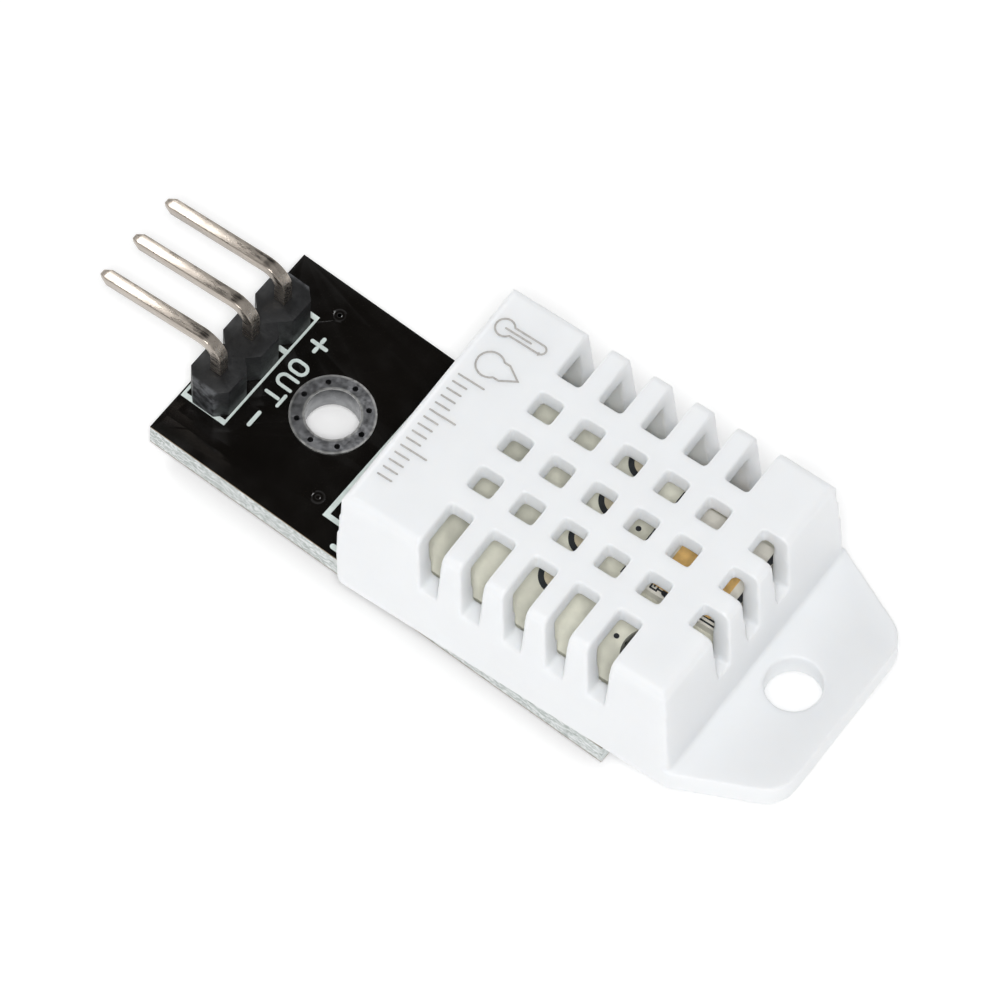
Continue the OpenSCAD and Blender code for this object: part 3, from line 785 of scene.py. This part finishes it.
@dataclass
class SensorInside:
    """What shows through the grille: inner board, pads, humidity element and sealed thermistor."""

    place: Matrix
    board_top: float = 4.1
    element_top: float = 4.7
    ink: float = 0.05
    painted_via_shade: tuple[Point, ...] = ((11.87, 1.54), (14.4, -3.89), (8.2, -4.6))

    def build(self) -> None:
        """Dresses each inner solid and prints the element and the board."""
        self.build_prints()
        for node, finish in (("inner_board", Finishes.LAMINATE), ("inner_board_pads", Finishes.FLUX),
                             ("inner_board_rings", Finishes.BLACK_INK), ("humidity_substrate", Finishes.ALUMINA),
                             ("humidity_electrode", Finishes.GILT),
                             ("thermistor_drop", Finishes.EPOXY), ("controller_chip", Finishes.CHIP),
                             ("controller_legs", Finishes.SOLDER), ("ceramic_capacitor", Finishes.TAN_CERAMIC),
                             ("ceramic_capacitor_caps", Finishes.SOLDER)):
            dress_node(node, finish)

    def build_prints(self) -> None:
        """Builds the element's black print with its contact loop, and black dots on the board's small vias that paint
        the shade in their holes.
        """
        low, high = self.element_top, self.element_top + self.ink
        thick = [([(12.83, 4.15), (12.83, -1.05), (13.3, -1.05)], False), ([(18.35, 4.15), (18.35, -1.05)], False)]
        work = bmesh.new()
        for path, closed in thick:
            ribbon(work, path, 0.26, low, high, closed, self.place)
        loop = [(14.36, -1.02), (14.72, -1.02), (14.72, -0.72), (14.52, -0.72), (14.52, -0.86)]
        thin = [(loop, False), ([(14.36, -1.02), (14.36, -0.72)], False), ([(14.72, -0.9), (15.1, -0.9)], False),
                ([(16.3, -0.8), (18.3, -0.8)], False), ([(16.3, -1.04), (18.3, -1.04)], False)]
        for path, closed in thin:
            ribbon(work, path, 0.08, low, high, closed, self.place)
        ribbon(work, [(15.12, -0.9), (15.3, -0.94)], 0.3, low, high, False, self.place)
        bmesh.ops.recalc_face_normals(work, faces=work.faces)
        piece = new_piece("element_print", finished(work, "element_print"), Finishes.BLACK_INK)
        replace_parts(piece, "humidity_frame")
        # Black dots at the vias: painted shade standing in for the dark inside of the open holes.
        dots = [([(x - 0.01, y), (x + 0.01, y)], False) for x, y in self.painted_via_shade]
        stroke_piece("painted_via_shade", dots, 0.27, self.board_top, self.board_top + self.ink, Finishes.BLACK_INK,
                     self.place)


@dataclass
class SensorLeads:
    """Four flat leads bent down into the carrier board, with their joints."""

    count: int = 4
    edge: float = 0.03

    def build(self) -> None:
        """Builds the leads and dresses their solder."""
        for k in range(1, self.count + 1):
            mesh = softened(f"sensor_lead_{k}", f"lead_{k}", self.edge)
            mesh.materials.clear()
            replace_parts(new_piece(f"lead_{k}", mesh, Finishes.PIN), f"sensor_lead_{k}")
            dress_node(f"lead_solder_{k}", Finishes.SOLDER)


@dataclass
class UndersideChips:
    """The pull-up resistor and the bypass capacitor below the board."""

    def build(self) -> None:
        """Dresses both chips and their end caps."""
        for node, finish in (("pullup_resistor", Finishes.RESISTOR), ("pullup_resistor_caps", Finishes.SOLDER),
                             ("bypass_capacitor", Finishes.CERAMIC), ("bypass_capacitor_caps", Finishes.SOLDER)):
            dress_node(node, finish)


@dataclass
class Studio:
    """A pale floor, soft lights and the camera at the photograph's angle."""

    floor_size: float = 3.0
    target: tuple[float, float, float] = (9.348, 1.433, 1.6)
    azimuth: float = -55.2865
    elevation: float = 63.2657
    roll: float = 3.4978
    distance: float = 590.93
    lens: float = 432.0
    sensor: float = 36.0
    ambient: float = 0.43
    floor_glow: float = 0.22
    # The tent's dark opening: azimuth and elevation, then its dark and its soft half angle
    opening: tuple[float, float] = (125.0, 62.0)
    opening_spread: tuple[float, float] = (17.0, 32.0)
    opening_glow: float = 0.02
    light_distance: float = 0.6
    # Name, azimuth, elevation, size in metres and power in watts of each soft box
    boxes: tuple[tuple[str, float, float, float, float], ...] = (
        ("lens_box", -55.3, 63.3, 0.12, 1.95), ("pin_box", 160.0, 36.0, 0.18, 0.8))

    def build(self) -> None:
        """Builds the floor, the lights and the camera."""
        self.build_floor()
        self.build_lights()
        self.build_camera()

    def build_floor(self) -> None:
        """Builds the floor under the lowest solder tail."""
        half = self.floor_size / 2
        z = CAD_BOX[0][2]
        mesh = bpy.data.meshes.new("floor")
        mesh.from_pydata([(-half, -half, z), (half, -half, z), (half, half, z), (-half, half, z)], [], [(0, 1, 2, 3)])
        paper = Finishes.PAPER.material()
        shader = paper.node_tree.nodes["Principled BSDF"]
        shader.inputs["Emission Color"].default_value = linear("#FFFFFF")
        shader.inputs["Emission Strength"].default_value = self.floor_glow
        mesh.materials.append(paper)
        floor = bpy.data.objects.new("floor", mesh)
        bpy.context.scene.collection.objects.link(floor)

    def build_lights(self) -> None:
        """Sets the view transform and builds the tent and the soft boxes, none on the side that the board would mirror
        into the lens.
        """
        scene = bpy.context.scene
        scene.view_settings.view_transform = "Standard"
        scene.world = self.tent()
        middle = Vector(self.target) * MM
        for name, azimuth, elevation, size, power in self.boxes:
            light = bpy.data.lights.new(name, "AREA")
            light.size = size
            light.energy = power
            lamp = bpy.data.objects.new(name, light)
            a, e = math.radians(azimuth), math.radians(elevation)
            way = Vector((math.cos(e) * math.cos(a), math.cos(e) * math.sin(a), math.sin(e)))
            lamp.location = middle + way * self.light_distance
            lamp.rotation_euler = way.to_track_quat("Z", "Y").to_euler()
            scene.collection.objects.link(lamp)

    def tent(self) -> bpy.types.World:
        """Builds a white light tent with the dark opening that the black board mirrors into the lens."""
        world = bpy.data.worlds.new("studio")
        world.use_nodes = True
        tree = world.node_tree
        ray = add_node(tree, "ShaderNodeTexCoord").outputs["Generated"]
        a, e = (math.radians(angle) for angle in self.opening)
        way = (math.cos(e) * math.cos(a), math.cos(e) * math.sin(a), math.sin(e))
        near = add_node(tree, "ShaderNodeVectorMath", {"operation": "DOT_PRODUCT", 1: way}, {0: ray}).outputs["Value"]
        inner, outer = (math.cos(math.radians(angle)) for angle in self.opening_spread)
        settings = {"interpolation_type": "SMOOTHSTEP", "From Min": outer, "From Max": inner,
                    "To Min": self.ambient, "To Max": self.opening_glow}
        strength = add_node(tree, "ShaderNodeMapRange", settings, {"Value": near}).outputs["Result"]
        tree.links.new(strength, tree.nodes["Background"].inputs["Strength"])
        tree.nodes["Background"].inputs["Color"].default_value = linear("#FFFFFF")
        return world

    def build_camera(self) -> None:
        """Builds the long lens camera that the photograph's perspective gives."""
        azimuth, elevation = math.radians(self.azimuth), math.radians(self.elevation)
        back = Vector((math.cos(elevation) * math.cos(azimuth), math.cos(elevation) * math.sin(azimuth),
                       math.sin(elevation)))
        level = Vector((-math.sin(azimuth), math.cos(azimuth), 0.0))
        upright = back.cross(level)
        roll = math.radians(self.roll)
        right = level * math.cos(roll) + upright * math.sin(roll)
        up = upright * math.cos(roll) - level * math.sin(roll)
        lens = bpy.data.cameras.new("camera")
        lens.lens = self.lens
        lens.sensor_width = self.sensor
        lens.clip_start = 0.01
        lens.clip_end = 10.0
        camera = bpy.data.objects.new("camera", lens)
        turn = Matrix((right, up, back)).transposed().to_4x4()
        camera.matrix_world = Matrix.Translation(Vector(self.target) * MM + back * self.distance * MM) @ turn
        bpy.context.scene.collection.objects.link(camera)
        bpy.context.scene.camera = camera


def main() -> None:
    """Builds every sub-assembly in order."""
    logging.basicConfig(level=logging.INFO, format="%(name)s %(message)s")
    random.seed(7)
    case = SensorCase()
    parts = (CarrierBoard(), PinHeader(), SensorLeads(), case, SensorInside(case.matrix()), UndersideChips(), Studio())
    for part in parts:
        LOG.info("building %s", type(part).__name__)
        part.build()


if __name__ == "__main__":
    main()
